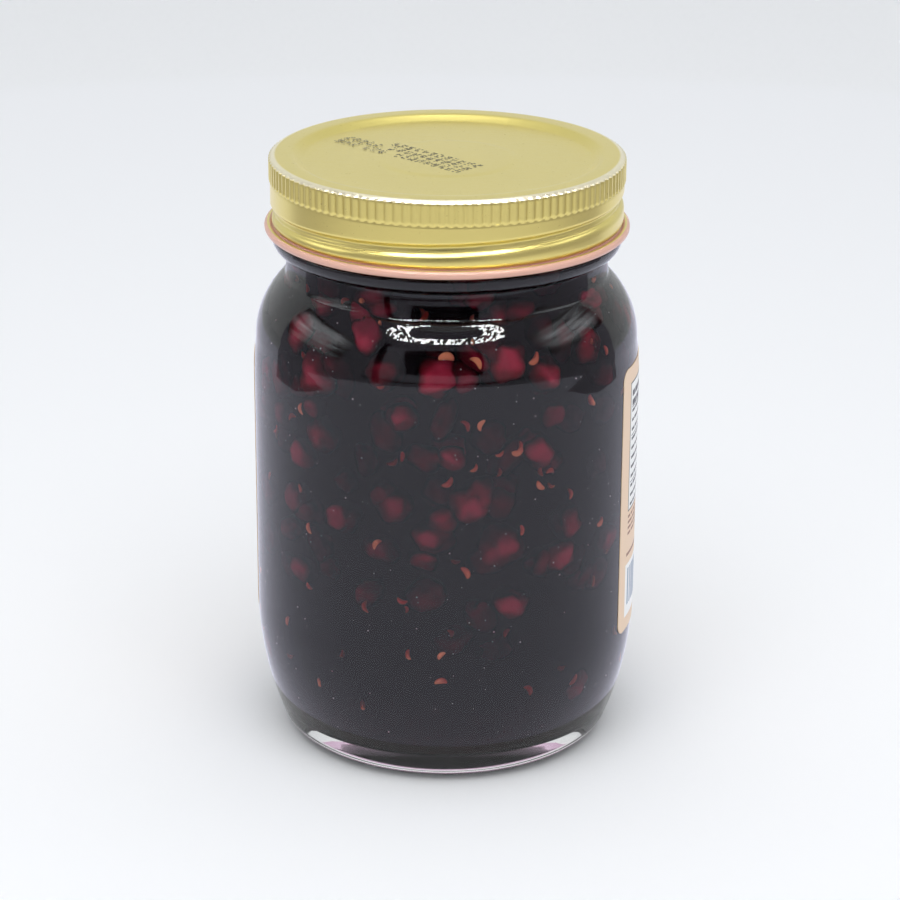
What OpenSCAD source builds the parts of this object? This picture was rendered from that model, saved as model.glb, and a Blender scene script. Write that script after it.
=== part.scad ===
// Round glass jar of jam with a gold screw cap and a wrap-round paper label.
// The base plane is z = 0 and the jar's axis is the z axis.
// The label's visible end lies on the +x side, and the label wraps round the back.

/* [Glass] */
// Outside diameter of the body
jar_d = 79.2; // [74:0.1:96]
// Height from the base to the rim of the mouth
jar_h = 123.2; // [100:0.1:150]
// Thickness of the glass
wall = 2.6; // [1.8:0.1:3.6]
// Thickness of the base at its middle, above the push-up
base_t = 3.8; // [2.5:0.1:6]
// Height of the push-up under the base
push_up = 1.4; // [0.8:0.1:3]
// Radius of the long curve from the foot to the straight wall
sweep_r = 69; // [55:1:80]
// Height at which the long curve meets the straight wall
sweep_h = 29; // [24:1:34]
// Radius of the heel, outside
heel_r = 6; // [4:0.5:7]
// Radius of the heel, inside
heel_in_r = 8; // [6:0.5:10]
// Width of the ring that the jar stands on
foot_w = 2; // [1:0.1:3]
// Radius of the shoulder's curve
shoulder_r = 17.4; // [15:0.1:20]
// How much narrower the wall is where the shoulder starts
shoulder_in = 0.4; // [0.1:0.1:1]
// Length of the wall's slight taper below the shoulder
taper_l = 8.5; // [5:0.5:12]

/* [Mouth] */
// Outside diameter of the mouth, without its thread
mouth_d = 66.8; // [54:0.1:68]
// Height of the mouth from the top of the shoulder to the rim
mouth_h = 23.8; // [23:0.1:30]
// How much narrower the neck is than the mouth, at the radius
neck_in = 0.6; // [0.3:0.1:1]
// How far the ring under the cap stands out from the mouth
bead_out = 2.3; // [1.5:0.1:2.3]
// Height of the ring under the cap
bead_h = 3.8; // [3:0.1:4.5]
// Gap between the ring and the foot of the cap
bead_gap = 0.35; // [0.2:0.05:1]

/* [Cap] */
// Thickness of the cap's sheet
sheet = 0.4; // [0.3:0.05:0.5]
// Thickness of the sealing ring in the cap
seal_t = 0.45; // [0.3:0.05:0.8]
// Gap between the mouth and the cap's skirt
skirt_gap = 2; // [1.9:0.1:3]
// Height of the cap
cap_h = 15.5; // [12.5:0.1:18.8]
// Depth of the recess in the cap's top
recess_h = 1.25; // [0.8:0.05:1.3]
// Gap between the recess and the inside of the mouth
recess_gap = 0.5; // [0.4:0.1:1]
// Width of the sloping wall round the recess
recess_slope = 1.7; // [1.2:0.1:2]
// Diameter of the faint round step in the middle of the cap
button_d = 27.6; // [20:0.1:40]
// Height of the round step
button_h = 0.15; // [0.1:0.05:0.3]
// Height of the knurled band, from the top of the cap
knurl_h = 5; // [4:0.1:5.4]
// Depth of the knurls
knurl_depth = 0.3; // [0.2:0.05:0.4]
// Number of knurls
knurl_count = 126; // [90:1:150]
// Depth of the rolled thread
thread_depth = 1.05; // [0.6:0.05:1.2]
// Rise of the thread in one turn
thread_pitch = 6.35; // [5:0.05:7]
// Radius of the rolled curl at the foot of the cap
curl_r = 0.85; // [0.6:0.05:1]

/* [Label] */
// Angle that the label covers
label_span = 209; // [120:1:300]
// Direction of the label's visible end, from the front towards +x
label_end = 64.6; // [30:0.1:90]
// Thickness of the paper
label_t = 0.15; // [0.1:0.05:0.3]
// How far the label reaches below the straight wall
label_low = 4.1; // [0:0.1:6]
// Distance from the label's top edge to the start of the shoulder
label_top_gap = 2.9; // [1:0.1:8]
// Radius of the label's corners
label_corner_r = 2.9; // [1:0.1:5]

/* [Hidden] */
$fn = 128;

jar_r = jar_d / 2;
mouth_r = mouth_d / 2;
neck_r = mouth_r - neck_in;

// The long curve at the foot, with the heel rolled inside it
sweep_x = jar_r - sweep_r;
heel_x = sweep_x + sqrt(pow(sweep_r - heel_r, 2) - pow(sweep_h - heel_r, 2));
heel_end_z = heel_r - heel_r * (sweep_h - heel_r) / (sweep_r - heel_r);
inside_sweep_r = sweep_r - wall;
floor_z = push_up + base_t;
heel_in_z = floor_z + heel_in_r;
heel_in_x = sweep_x + sqrt(pow(inside_sweep_r - heel_in_r, 2) - pow(sweep_h - heel_in_z, 2));
heel_in_end_z = heel_in_z - heel_in_r * (sweep_h - heel_in_z) / (inside_sweep_r - heel_in_r);

// The shoulder runs down from the neck, and the straight wall ends below it
neck_z = jar_h - mouth_h;
shoulder_top = jar_r - shoulder_in;
shoulder_x = shoulder_top - shoulder_r;
shoulder_z = neck_z - sqrt(pow(shoulder_r, 2) - pow(neck_r - shoulder_x, 2));
straight_top = shoulder_z - taper_l;
inside_shoulder_r = shoulder_r - wall;
inside_neck_r = neck_r - wall;
inside_neck_z = shoulder_z + sqrt(pow(inside_shoulder_r, 2) - pow(inside_neck_r - shoulder_x, 2));
rim_r = 2;
rim_out_r = 0.8;

// The cap's levels, from the rim that it sits on
cap_top = jar_h + seal_t + sheet;
cap_foot = cap_top - cap_h;
skirt_in_r = mouth_r + skirt_gap;
skirt_r = skirt_in_r + sheet;
knurl_r = skirt_r + 0.2;
knurl_root_r = knurl_r - knurl_depth;
knurl_foot = cap_top - knurl_h;
edge_r = 0.8;
recess_r = inside_neck_r - recess_gap;
recess_edge_r = recess_r + recess_slope;
recess_z = cap_top - recess_h;
seal_in_r = recess_edge_r + 0.3;
curl_x = skirt_r + curl_r / 2;
curl_z = cap_foot + curl_r;
foot_band_z = curl_z + curl_r * 0.6;
thread_top = knurl_foot - 0.3;
thread_low = foot_band_z + 0.4;
thread_mid = (thread_top + thread_low) / 2;
thread_turn = 300;
thread_fade = 45;
thread_half = 1.35;
thread_steps = 90;
thread_rows = 11;
lap = 0.05;
thread_lap = 0.2;

bead_r = mouth_r + bead_out;
bead_top = cap_foot - bead_gap;
bead_edge_r = 0.6;

label_z0 = sweep_h - label_low;
label_z1 = shoulder_z - label_top_gap;

function arc(x, z, r, a0, a1, n) =
    [for (i = [0 : n]) let (a = a0 + (a1 - a0) * i / n) [x + r * cos(a), z + r * sin(a)]];

// Angle on an arc of radius r at a height above its centre
function rise(h, r) = asin(h / r);

// Outside radius of the body between the heel and the shoulder
function body_r(z) =
    z < sweep_h ? sweep_x + sqrt(pow(sweep_r, 2) - pow(sweep_h - z, 2)) :
    z < straight_top ? jar_r :
    jar_r - shoulder_in * pow((z - straight_top) / taper_l, 2);

// Heights at which the body's profile has a point, shared by the glass and the label
body_zs = concat(
    [for (i = [0 : 7]) heel_end_z + (label_z0 - heel_end_z) * i / 8],
    [for (i = [0 : 2]) label_z0 + (sweep_h - label_z0) * i / 2],
    [straight_top],
    [label_z1]);
body_points = [for (z = body_zs) [body_r(z), z]];

// The ring swells out of the neck and ends in a nearly flat top under the cap
bead_points = concat(
    [for (i = [0 : 6]) let (t = 15 * i)
        [neck_r + (bead_r - neck_r) * sin(t), bead_top - bead_edge_r - (bead_h - bead_edge_r) * cos(t)]],
    arc(bead_r - bead_edge_r, bead_top - bead_edge_r, bead_edge_r, 20, 90, 4),
    [[mouth_r, bead_top + 0.3]]);

outside_points = concat(
    [[heel_x - foot_w, 0]],
    arc(heel_x, heel_r, heel_r, -90, -rise(heel_r - heel_end_z, heel_r), 8),
    [for (i = [1 : len(body_points) - 1]) body_points[i]],
    arc(shoulder_x, shoulder_z, shoulder_r, 0, rise(neck_z - shoulder_z, shoulder_r), 14),
    bead_points);

rim_points = concat(
    arc(mouth_r - rim_out_r, jar_h - rim_out_r, rim_out_r, 0, 90, 4),
    arc(inside_neck_r + rim_r, jar_h - rim_r, rim_r, 90, 180, 6));

inside_points = concat(
    [[0, floor_z]],
    arc(heel_in_x, heel_in_z, heel_in_r, -90, -rise(heel_in_z - heel_in_end_z, heel_in_r), 8),
    [for (i = [1 : 6]) let (z = heel_in_end_z + (sweep_h - heel_in_end_z) * i / 6)
        [sweep_x + sqrt(pow(inside_sweep_r, 2) - pow(sweep_h - z, 2)), z]],
    [[jar_r - wall, straight_top]],
    arc(shoulder_x, shoulder_z, inside_shoulder_r, 0, rise(inside_neck_z - shoulder_z, inside_shoulder_r), 12));

module glass() {
    inside_down = [for (i = [len(inside_points) - 1 : -1 : 0]) inside_points[i]];
    foot_in_r = heel_x - foot_w;
    push_up_points = [[0, push_up], [foot_in_r - 10, push_up], [foot_in_r - 2, push_up * 0.3]];
    color([0.86, 0.9, 0.9, 0.4])
        rotate_extrude()
            polygon(concat(push_up_points, outside_points, rim_points, inside_down));
}

// The jam fills the jar up to the underside of the cap's recess
jam_top = recess_z - sheet;
jam_top_r = recess_r - 0.1;

module jam() {
    color([0.2, 0.05, 0.08])
        rotate_extrude()
            polygon(concat(inside_points, [[inside_neck_r, jar_h - rim_r], [jam_top_r, jam_top], [0, jam_top]]));
}

// Half outline of the pressed sheet from the middle of the top to the knurled band
module cap_top_outline() {
    outer = concat(
        [[0, recess_z + button_h], [button_d / 2 - 0.5, recess_z + button_h], [button_d / 2 + 0.5, recess_z]],
        [[recess_r, recess_z], [recess_edge_r, cap_top - 0.05]],
        arc(knurl_root_r - edge_r, cap_top - edge_r, edge_r, 90, 0, 5),
        [[knurl_root_r, knurl_foot], [skirt_r + lap, knurl_foot], [skirt_r + lap, thread_top]]);
    inner = [
        [skirt_in_r - lap, thread_top], [skirt_in_r - lap, jar_h], [seal_in_r, jar_h],
        [recess_r, recess_z - sheet], [0, recess_z - sheet]];
    polygon(concat(outer, inner));
}

// Half outline of the band below the thread, with the rolled curl
module cap_foot_outline() {
    polygon([
        [skirt_in_r - lap, thread_low], [skirt_r + lap, thread_low], [skirt_r + lap, foot_band_z],
        [curl_x, curl_z], [curl_x - curl_r * 0.8, curl_z - curl_r * 0.4], [skirt_in_r - lap, curl_z]]);
    translate([curl_x, curl_z])
        circle(curl_r);
}

module knurls() {
    pitch = 360 / knurl_count;
    crest_r = knurl_r;
    root_r = knurl_root_r - 0.02;
    outline = [for (i = [0 : knurl_count - 1], k = [0 : 3])
        let (a = (i + [0.18, 0.38, 0.62, 0.82][k]) * pitch, r = [root_r, crest_r, crest_r, root_r][k])
        [r * cos(a), r * sin(a)]];
    translate([0, 0, knurl_foot])
        difference() {
            linear_extrude(knurl_h - edge_r)
                polygon(outline);
            translate([0, 0, -1])
                cylinder(h = knurl_h + 1, r = knurl_root_r - sheet / 2);
        }
}

// How deep the rolled thread is at an angle from its start and at a height
function thread_z(a) = thread_mid + thread_pitch * (a - thread_turn / 2) / 360;
function fade(a) = min(1, max(0, min(a, thread_turn - a) / thread_fade));
function dent(a, z) =
    let (u = (z - thread_z(a)) / thread_half)
    thread_depth * fade(a) * (abs(u) < 1 ? pow(cos(90 * u), 2) : 0);
function start_angle(a) = (a + thread_turn / 2) % 360;

// The band of sheet that holds the rolled thread, as one grid outside and one inside.
// Its ends lie just inside the slightly thicker sheet above and below it.
module threaded_band() {
    rows = thread_rows;
    steps = thread_steps;
    low = thread_low - thread_lap;
    high = thread_top + thread_lap;
    zs = [for (j = [0 : rows - 1]) low + (high - low) * j / (rows - 1)];
    function at(i, j, r) =
        let (a = 360 * i / steps, d = j == 0 || j == rows - 1 ? 0 : dent(start_angle(a + 90), zs[j]))
        [(r - d) * cos(a), (r - d) * sin(a), zs[j]];
    outside = [for (j = [0 : rows - 1], i = [0 : steps - 1]) at(i, j, skirt_r)];
    inside = [for (j = [0 : rows - 1], i = [0 : steps - 1]) at(i, j, skirt_in_r)];
    base = rows * steps;
    walls = [for (j = [0 : rows - 2], i = [0 : steps - 1]) let (n = (i + 1) % steps)
        each [
            [j * steps + i, (j + 1) * steps + i, (j + 1) * steps + n],
            [j * steps + i, (j + 1) * steps + n, j * steps + n],
            [base + j * steps + i, base + (j + 1) * steps + n, base + (j + 1) * steps + i],
            [base + j * steps + i, base + j * steps + n, base + (j + 1) * steps + n]]];
    last = (rows - 1) * steps;
    ends = [for (i = [0 : steps - 1]) let (n = (i + 1) % steps)
        each [
            [i, n, base + n], [i, base + n, base + i],
            [last + i, base + last + n, last + n], [last + i, base + last + i, base + last + n]]];
    polyhedron(concat(outside, inside), concat(walls, ends));
}

module lid() {
    color([0.8, 0.73, 0.48]) {
        rotate_extrude()
            cap_top_outline();
        knurls();
        threaded_band();
        rotate_extrude()
            cap_foot_outline();
    }
}

// A square with a round bite, which rounds a corner of the label
module corner_cutter() {
    rotate([90, 0, 0])
        translate([0, 0, -jar_r - 2])
            linear_extrude(4)
                difference() {
                    translate([-1, -1])
                        square(label_corner_r + 1);
                    translate([label_corner_r - lap, label_corner_r - lap])
                        circle(label_corner_r);
                }
}

module label() {
    label_points = [for (p = body_points) if (p[1] >= label_z0 - 0.01) p];
    outer = [for (i = [len(label_points) - 1 : -1 : 0]) label_points[i] + [label_t, 0]];
    color([0.89, 0.77, 0.66])
        difference() {
            rotate([0, 0, label_end - 90])
                rotate_extrude(angle = label_span)
                    polygon(concat(label_points, outer));
            for (end = [0, 1], high = [0, 1])
                rotate([0, 0, label_end - 180 + end * label_span])
                    translate([0, 0, high ? label_z1 : label_z0])
                        mirror([0, 0, high])
                            mirror([end ? 0 : 1, 0, 0])
                                corner_cutter();
        }
}

glass();
jam();
lid();
label();
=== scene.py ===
"""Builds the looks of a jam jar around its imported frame: glass, syrup, fruit, seeds, gold cap and paper label."""

import itertools
import math
import random

import bpy
from mathutils import Matrix, Vector, noise


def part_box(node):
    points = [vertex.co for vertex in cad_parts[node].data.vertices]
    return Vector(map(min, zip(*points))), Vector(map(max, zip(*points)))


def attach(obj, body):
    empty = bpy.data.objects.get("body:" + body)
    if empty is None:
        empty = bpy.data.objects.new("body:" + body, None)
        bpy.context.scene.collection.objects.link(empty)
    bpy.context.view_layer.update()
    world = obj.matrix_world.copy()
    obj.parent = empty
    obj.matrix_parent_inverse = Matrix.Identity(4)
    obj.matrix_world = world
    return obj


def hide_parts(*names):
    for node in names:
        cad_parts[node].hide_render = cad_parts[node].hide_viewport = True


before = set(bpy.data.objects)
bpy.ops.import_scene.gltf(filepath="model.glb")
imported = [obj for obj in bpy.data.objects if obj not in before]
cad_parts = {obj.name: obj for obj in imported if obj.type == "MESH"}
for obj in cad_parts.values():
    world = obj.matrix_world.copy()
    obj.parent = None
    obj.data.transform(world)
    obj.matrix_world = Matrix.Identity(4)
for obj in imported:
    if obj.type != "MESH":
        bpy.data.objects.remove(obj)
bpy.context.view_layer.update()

bl_info = {
    "name": "Jam jar",
    "version": (1, 0, 0),
    "blender": (4, 5, 0),
    "location": "View3D > Sidebar > Jam jar",
    "description": "Builds a glass jar of dark fruit jam with a gold screw cap and a paper label",
    "category": "Object",
}

MM = 0.001
# Steps of this angle, in radians, spread points evenly round a jar
GOLDEN_ANGLE = 2.39996
GLASS_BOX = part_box("glass")
JAM_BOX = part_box("jam")
LID_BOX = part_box("lid")
LABEL_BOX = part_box("label")

# Jam against glass bends light by the ratio of their indices, 1.46 to 1.445, and hardly reflects.
# The syrup itself bends nothing, because the glass around it already does.
GLASS_IOR = 1.46
WETTED_IOR = 1.012
SYRUP_IOR = 1.002

# The label's CAD thickness is shared between the paper and up to three layers of ink on it
PAPER_SHARE = 0.82
INK_LAYER = 0.007 * MM

# The camera's place in millimetres, its tilt and roll in degrees and its lens in millimetres
CAMERA_PLACE = (0.82, -588.4, 282.1)
CAMERA_DOWN = 20.68
CAMERA_ROLL = 0.29
CAMERA_LENS = 120.46

# The fruit and the seeds that lie against the glass at the front, placed one by one:
# direction from the front in degrees, height in mm and size as a share of the usual one
FRONT_FRUIT = (
    (-3, 88, 1.15), (20, 90, 1.05), (33, 87, 0.95), (52, 90, 1.2), (-28, 94, 0.9), (-46, 85, 1.2), (-64, 82, 1.0),
    (-17, 61, 1.1), (-4, 55, 1.2), (7, 62, 1.0), (18, 52, 1.2), (42, 55, 0.9), (-35, 57, 1.0), (-55, 58, 0.9),
    (30, 72, 1.0), (-14, 80, 0.9), (64, 96, 1.1), (-51, 68, 0.85), (21, 40, 0.9), (35, 79, 0.8), (2, 72, 0.85),
)
FRONT_SEEDS = (
    (0, 92, 1.15), (9, 91, 1.1), (28, 91, 1.1), (50, 80, 1.0), (11, 79, 0.95), (22, 73, 1.0), (30, 65, 0.9),
    (6, 48, 1.0), (-11, 30, 0.9), (-1, 30, 0.8), (-49, 78, 0.9), (-46, 53, 0.9), (-21, 53, 0.95), (55, 53, 1.0),
)
# Height in mm from which the front fruit is painted paler, painted light for the light in the shoulder
PAINTED_SHOULDER_LIGHT_HEIGHT = 84


# ---------------------------------------------------------------- settings


def length(name, description, default_mm):
    """A size property, given in millimetres and kept in metres."""
    return bpy.props.FloatProperty(
        name=name, description=description, default=default_mm * MM, unit="LENGTH", precision=5
    )


def count(name, description, default):
    return bpy.props.IntProperty(name=name, description=description, default=default, min=1)


def share(name, description, default):
    return bpy.props.FloatProperty(name=name, description=description, default=default, min=0.0)


def angle(name, description, default_deg):
    return bpy.props.FloatProperty(
        name=name, description=description, default=math.radians(default_deg), unit="ROTATION"
    )


def colour(name, description, default_hex):
    return bpy.props.StringProperty(name=name, description=description, default=default_hex)


class GlassSettings(bpy.types.PropertyGroup):
    """The jar's wall, foot, shoulder and mouth."""

    wall: length("Wall", "Thickness of the glass", 2.6)
    base: length("Base", "Thickness of the base at its middle", 3.8)
    push_up: length("Push-up", "Height of the hollow under the base", 1.4)
    sweep_r: length("Foot curve", "Radius of the long curve from the foot to the wall", 69.0)
    sweep_h: length("Foot height", "Height at which the long curve meets the straight wall", 29.0)
    heel_r: length("Heel", "Radius of the heel, outside", 6.0)
    heel_in_r: length("Inner heel", "Radius of the heel, inside", 8.0)
    foot_w: length("Foot ring", "Width of the ring that the jar stands on", 2.0)
    shoulder_r: length("Shoulder", "Radius of the shoulder's curve", 17.4)
    shoulder_in: length("Shoulder inset", "How much narrower the wall is at the shoulder", 0.4)
    taper_l: length("Taper", "Length of the wall's taper below the shoulder", 8.5)
    mouth_d: length("Mouth", "Outside diameter of the mouth", 66.8)
    mouth_h: length("Mouth height", "Height from the top of the shoulder to the rim", 23.8)
    neck_in: length("Neck inset", "How much narrower the neck is than the mouth", 0.6)
    bead_out: length("Bead", "How far the ring under the cap stands out", 2.3)
    bead_h: length("Bead height", "Height of the ring under the cap", 3.8)
    bead_gap: length("Bead gap", "Gap between the ring and the cap", 0.35)
    rim_r: length("Rim", "Radius of the inside of the rim", 2.0)
    steps: count("Steps", "Number of steps round the glass", 256)


class JamSettings(bpy.types.PropertyGroup):
    """The syrup and what is sunk in it."""

    syrup: colour("Syrup", "Colour of the syrup's faint haze", "#F4EEFC")
    clearness: share("Clearness", "Share of the light that passes the syrup's haze", 0.994)
    deep: colour("Deep syrup", "Colour that a thin layer of syrup lets through", "#DC56A3")
    density: share("Density", "How fast the syrup darkens, per metre", 1650.0)
    reach: length("Reach", "How far the syrup reaches into the wall", 0.02)
    core_depth: length("Core depth", "Depth at which the syrup is taken as opaque", 5.0)
    fruit_count: count("Fruit pieces", "Number of pieces of fruit near the wall", 200)
    fruit_size: length("Fruit size", "Typical width of a piece of fruit", 7.8)
    fruit_hex: colour("Fruit colour", "Colour of the fruit's flesh", "#B5354A")
    fruit_dark_hex: colour("Dark fruit colour", "Colour of the flesh's darker patches", "#8B2539")
    seed_count: count("Seeds", "Number of seeds near the wall", 130)
    seed_length: length("Seed length", "Typical length of a seed", 2.7)
    seed_hex: colour("Seed colour", "Colour of the seeds", "#D1885E")
    bubble_count: count("Bubbles", "Number of tiny bubbles at the wall", 520)
    bubble_size: length("Bubble size", "Typical width of a bubble", 0.26)


class CapSettings(bpy.types.PropertyGroup):
    """The screw cap and its lacquers."""

    sheet: length("Sheet", "Thickness of the sheet", 0.4)
    recess_h: length("Recess", "Depth of the recess in the top", 1.25)
    recess_r: length("Recess radius", "Radius of the recess's floor", 29.7)
    recess_slope: length("Recess slope", "Width of the sloping wall round the recess", 1.7)
    button_r: length("Button", "Radius of the faint round step in the middle", 13.8)
    button_h: length("Button height", "Height of the round step", 0.15)
    edge_r: length("Edge", "Radius of the cap's top edge", 0.8)
    knurls: count("Knurls", "Number of knurls", 126)
    knurl_h: length("Knurl height", "Depth of the knurled band from the top", 5.0)
    knurl_depth: length("Knurl depth", "Depth of the knurls", 0.36)
    thread_depth: length("Thread depth", "Depth of the rolled thread", 1.0)
    thread_pitch: length("Thread pitch", "Rise of the thread in one turn", 6.35)
    curl_r: length("Curl", "Radius of the rolled curl", 0.85)
    gold: colour("Gold", "Colour of the gold lacquer", "#E0D17C")
    pink: colour("Curl colour", "Colour of the lacquer on the curl", "#D8A794")


class LabelSettings(bpy.types.PropertyGroup):
    """The paper label and the fields of colour on it."""

    span: angle("Span", "Angle that the label covers", 209.0)
    end: angle("End", "Direction of the visible end, from the front towards the right", 64.6)
    corner_r: length("Corner", "Radius of the corners", 2.9)
    paper: colour("Paper", "Colour of the label", "#EBCFB2")


class JarSettings(bpy.types.PropertyGroup):
    """All that a user would change."""

    glass: bpy.props.PointerProperty(type=GlassSettings)
    jam: bpy.props.PointerProperty(type=JamSettings)
    cap: bpy.props.PointerProperty(type=CapSettings)
    label: bpy.props.PointerProperty(type=LabelSettings)


def settings():
    return bpy.context.scene.jam_jar


# ---------------------------------------------------------------- outlines


def arc(x, z, r, start, end, steps):
    """Points on an arc round (x, z), its angles in degrees."""
    angles = (math.radians(start + (end - start) * i / steps) for i in range(steps + 1))
    return [(x + r * math.cos(a), z + r * math.sin(a)) for a in angles]


def rise(height, r):
    """Angle in degrees on an arc of radius r at a height above its centre."""
    return math.degrees(math.asin(height / r))


class JarOutline:
    """The glass's outline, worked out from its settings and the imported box, as the CAD works it out."""

    def __init__(self):
        g = settings().glass
        self.g = g
        self.body_r = -GLASS_BOX[0].x
        self.height = GLASS_BOX[1].z
        mouth_r = g.mouth_d / 2
        self.mouth_r = mouth_r
        self.neck_r = mouth_r - g.neck_in
        self.bore_r = self.neck_r - g.wall
        self.sweep_x = self.body_r - g.sweep_r
        self.heel_x = self.sweep_x + math.sqrt((g.sweep_r - g.heel_r) ** 2 - (g.sweep_h - g.heel_r) ** 2)
        self.heel_end = g.heel_r - g.heel_r * (g.sweep_h - g.heel_r) / (g.sweep_r - g.heel_r)
        self.in_sweep_r = g.sweep_r - g.wall
        self.floor = g.push_up + g.base
        self.in_heel_z = self.floor + g.heel_in_r
        reach = self.in_sweep_r - g.heel_in_r
        self.in_heel_x = self.sweep_x + math.sqrt(reach ** 2 - (g.sweep_h - self.in_heel_z) ** 2)
        self.in_heel_end = self.in_heel_z - g.heel_in_r * (g.sweep_h - self.in_heel_z) / reach
        self.neck_z = self.height - g.mouth_h
        top_r = self.body_r - g.shoulder_in
        self.shoulder_x = top_r - g.shoulder_r
        drop = math.sqrt(g.shoulder_r ** 2 - (self.neck_r - self.shoulder_x) ** 2)
        self.shoulder_z = self.neck_z - drop
        self.straight_top = self.shoulder_z - g.taper_l
        self.in_shoulder_r = g.shoulder_r - g.wall
        self.in_neck_z = self.shoulder_z + math.sqrt(
            self.in_shoulder_r ** 2 - (self.bore_r - self.shoulder_x) ** 2)

    def outer(self, z):
        """Outside radius between the heel and the shoulder."""
        g = self.g
        if z < g.sweep_h:
            return self.sweep_x + math.sqrt(g.sweep_r ** 2 - (g.sweep_h - z) ** 2)
        if z < self.straight_top:
            return self.body_r
        if z < self.shoulder_z:
            return self.body_r - g.shoulder_in * ((z - self.straight_top) / g.taper_l) ** 2
        return self.shoulder_x + math.sqrt(g.shoulder_r ** 2 - (z - self.shoulder_z) ** 2)

    def inner(self, z):
        """Inside radius at a height, which is the jam's own radius there."""
        g = self.g
        if z < self.in_heel_end:
            return self.in_heel_x + math.sqrt(max(0.0, g.heel_in_r ** 2 - (self.in_heel_z - z) ** 2))
        if z < g.sweep_h:
            return self.sweep_x + math.sqrt(self.in_sweep_r ** 2 - (g.sweep_h - z) ** 2)
        if z < self.shoulder_z:
            return self.outer(z) - g.wall
        if z < self.in_neck_z:
            return self.shoulder_x + math.sqrt(self.in_shoulder_r ** 2 - (z - self.shoulder_z) ** 2)
        return self.bore_r

    def body_heights(self, heel_end, sweep_steps, taper_steps):
        """Heights of the outline's points from the end of the heel up to the shoulder."""
        low, high, wall_steps = self.g.sweep_h, self.straight_top, 6
        return (
            [heel_end + (low - heel_end) * i / sweep_steps for i in range(1, sweep_steps + 1)]
            + [low + (high - low) * i / wall_steps for i in range(1, wall_steps + 1)]
            + [high + self.g.taper_l * i / taper_steps for i in range(1, taper_steps)]
        )

    def bead_points(self):
        g = self.g
        foot = LID_BOX[0].z
        top = foot - g.bead_gap
        edge = 0.6 * MM
        out = self.mouth_r + g.bead_out
        swell = [
            (self.neck_r + (out - self.neck_r) * math.sin(t),
             top - edge - (g.bead_h - edge) * math.cos(t))
            for t in (math.radians(9 * i) for i in range(11))]
        return swell + arc(out - edge, top - edge, edge, 20, 90, 5) + [(self.mouth_r, top + 0.3 * MM)]

    def outside_points(self):
        g = self.g
        heel_angle = rise(g.heel_r - self.heel_end, g.heel_r)
        return (
            [(self.heel_x - g.foot_w, 0.0)]
            + arc(self.heel_x, g.heel_r, g.heel_r, -90, -heel_angle, 10)
            + [(self.outer(z), z) for z in self.body_heights(self.heel_end, 14, 5)]
            + arc(self.shoulder_x, self.shoulder_z, g.shoulder_r, 0,
                  rise(self.neck_z - self.shoulder_z, g.shoulder_r), 20)
            + self.bead_points()
        )

    def rim_points(self):
        g = self.g
        out = 0.8 * MM
        return (
            arc(self.mouth_r - out, self.height - out, out, 0, 90, 5)
            + arc(self.bore_r + g.rim_r, self.height - g.rim_r, g.rim_r, 90, 180, 8)
        )

    def inside_points(self, grow=0.0):
        """From the middle of the floor up to the mouth, moved into the wall by grow."""
        g = self.g
        heel_angle = rise(self.in_heel_z - self.in_heel_end, g.heel_in_r)
        shoulder = arc(self.shoulder_x, self.shoulder_z, self.in_shoulder_r + grow, 0,
                       rise(self.in_neck_z - self.shoulder_z, self.in_shoulder_r), 16)
        shoulder[-1] = (self.bore_r + grow, shoulder[-1][1])
        return (
            [(0.0, self.floor - grow)]
            + arc(self.in_heel_x, self.in_heel_z, g.heel_in_r + grow, -90, -heel_angle, 10)
            + [(self.inner(z) + grow, z) for z in self.body_heights(self.in_heel_end, 12, 4)]
            + shoulder
        )


# ---------------------------------------------------------------- modelling helpers


def deselect():
    if bpy.context.object and bpy.context.object.mode != "OBJECT":
        bpy.ops.object.mode_set(mode="OBJECT")
    bpy.ops.object.select_all(action="DESELECT")


def pick(obj):
    deselect()
    obj.select_set(True)
    bpy.context.view_layer.objects.active = obj


def named(name):
    """The piece that was just added, with its name."""
    obj = bpy.context.object
    obj.name = obj.data.name = name
    return obj


def edit_all():
    """Goes into edit mode with the whole mesh selected."""
    bpy.ops.object.mode_set(mode="EDIT")
    bpy.ops.mesh.select_all(action="SELECT")


def close_mesh():
    """Turns all faces outwards and leaves edit mode."""
    bpy.ops.mesh.select_all(action="SELECT")
    bpy.ops.mesh.normals_make_consistent(inside=False)
    bpy.ops.object.mode_set(mode="OBJECT")


def lathe(name, points, steps):
    """Draws an outline point by point and spins it round the z axis."""
    deselect()
    r, z = points[0]
    bpy.ops.mesh.primitive_plane_add(size=MM, location=(0, 0, 0))
    obj = named(name)
    bpy.ops.object.mode_set(mode="EDIT")
    bpy.ops.mesh.merge(type="CENTER")
    bpy.ops.transform.translate(value=(r, 0, z))
    for (r0, z0), (r1, z1) in zip(points, points[1:]):
        bpy.ops.mesh.extrude_region_move(TRANSFORM_OT_translate={"value": (r1 - r0, 0, z1 - z0)})
    bpy.ops.mesh.select_all(action="SELECT")
    bpy.ops.mesh.spin(steps=steps, angle=2 * math.pi, center=(0, 0, 0), axis=(0, 0, 1))
    bpy.ops.mesh.select_all(action="SELECT")
    bpy.ops.mesh.remove_doubles(threshold=0.002 * MM)
    close_mesh()
    return obj


def smooth(obj, degrees=40):
    pick(obj)
    bpy.ops.object.shade_smooth_by_angle(angle=math.radians(degrees))


def join(name, objs):
    deselect()
    for o in objs:
        o.select_set(True)
    bpy.context.view_layer.objects.active = objs[0]
    bpy.ops.object.join()
    obj = named(name)
    bpy.ops.object.transform_apply(location=True, rotation=True, scale=True)
    return obj


def copy_at(template, matrix):
    """A copy of a template with its own mesh, moved there."""
    obj = template.copy()
    obj.data = template.data.copy()
    obj.data.transform(matrix)
    obj.matrix_world = Matrix.Identity(4)
    bpy.context.collection.objects.link(obj)
    return obj


def remove(objs):
    for o in objs:
        bpy.data.objects.remove(o, do_unlink=True)


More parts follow.
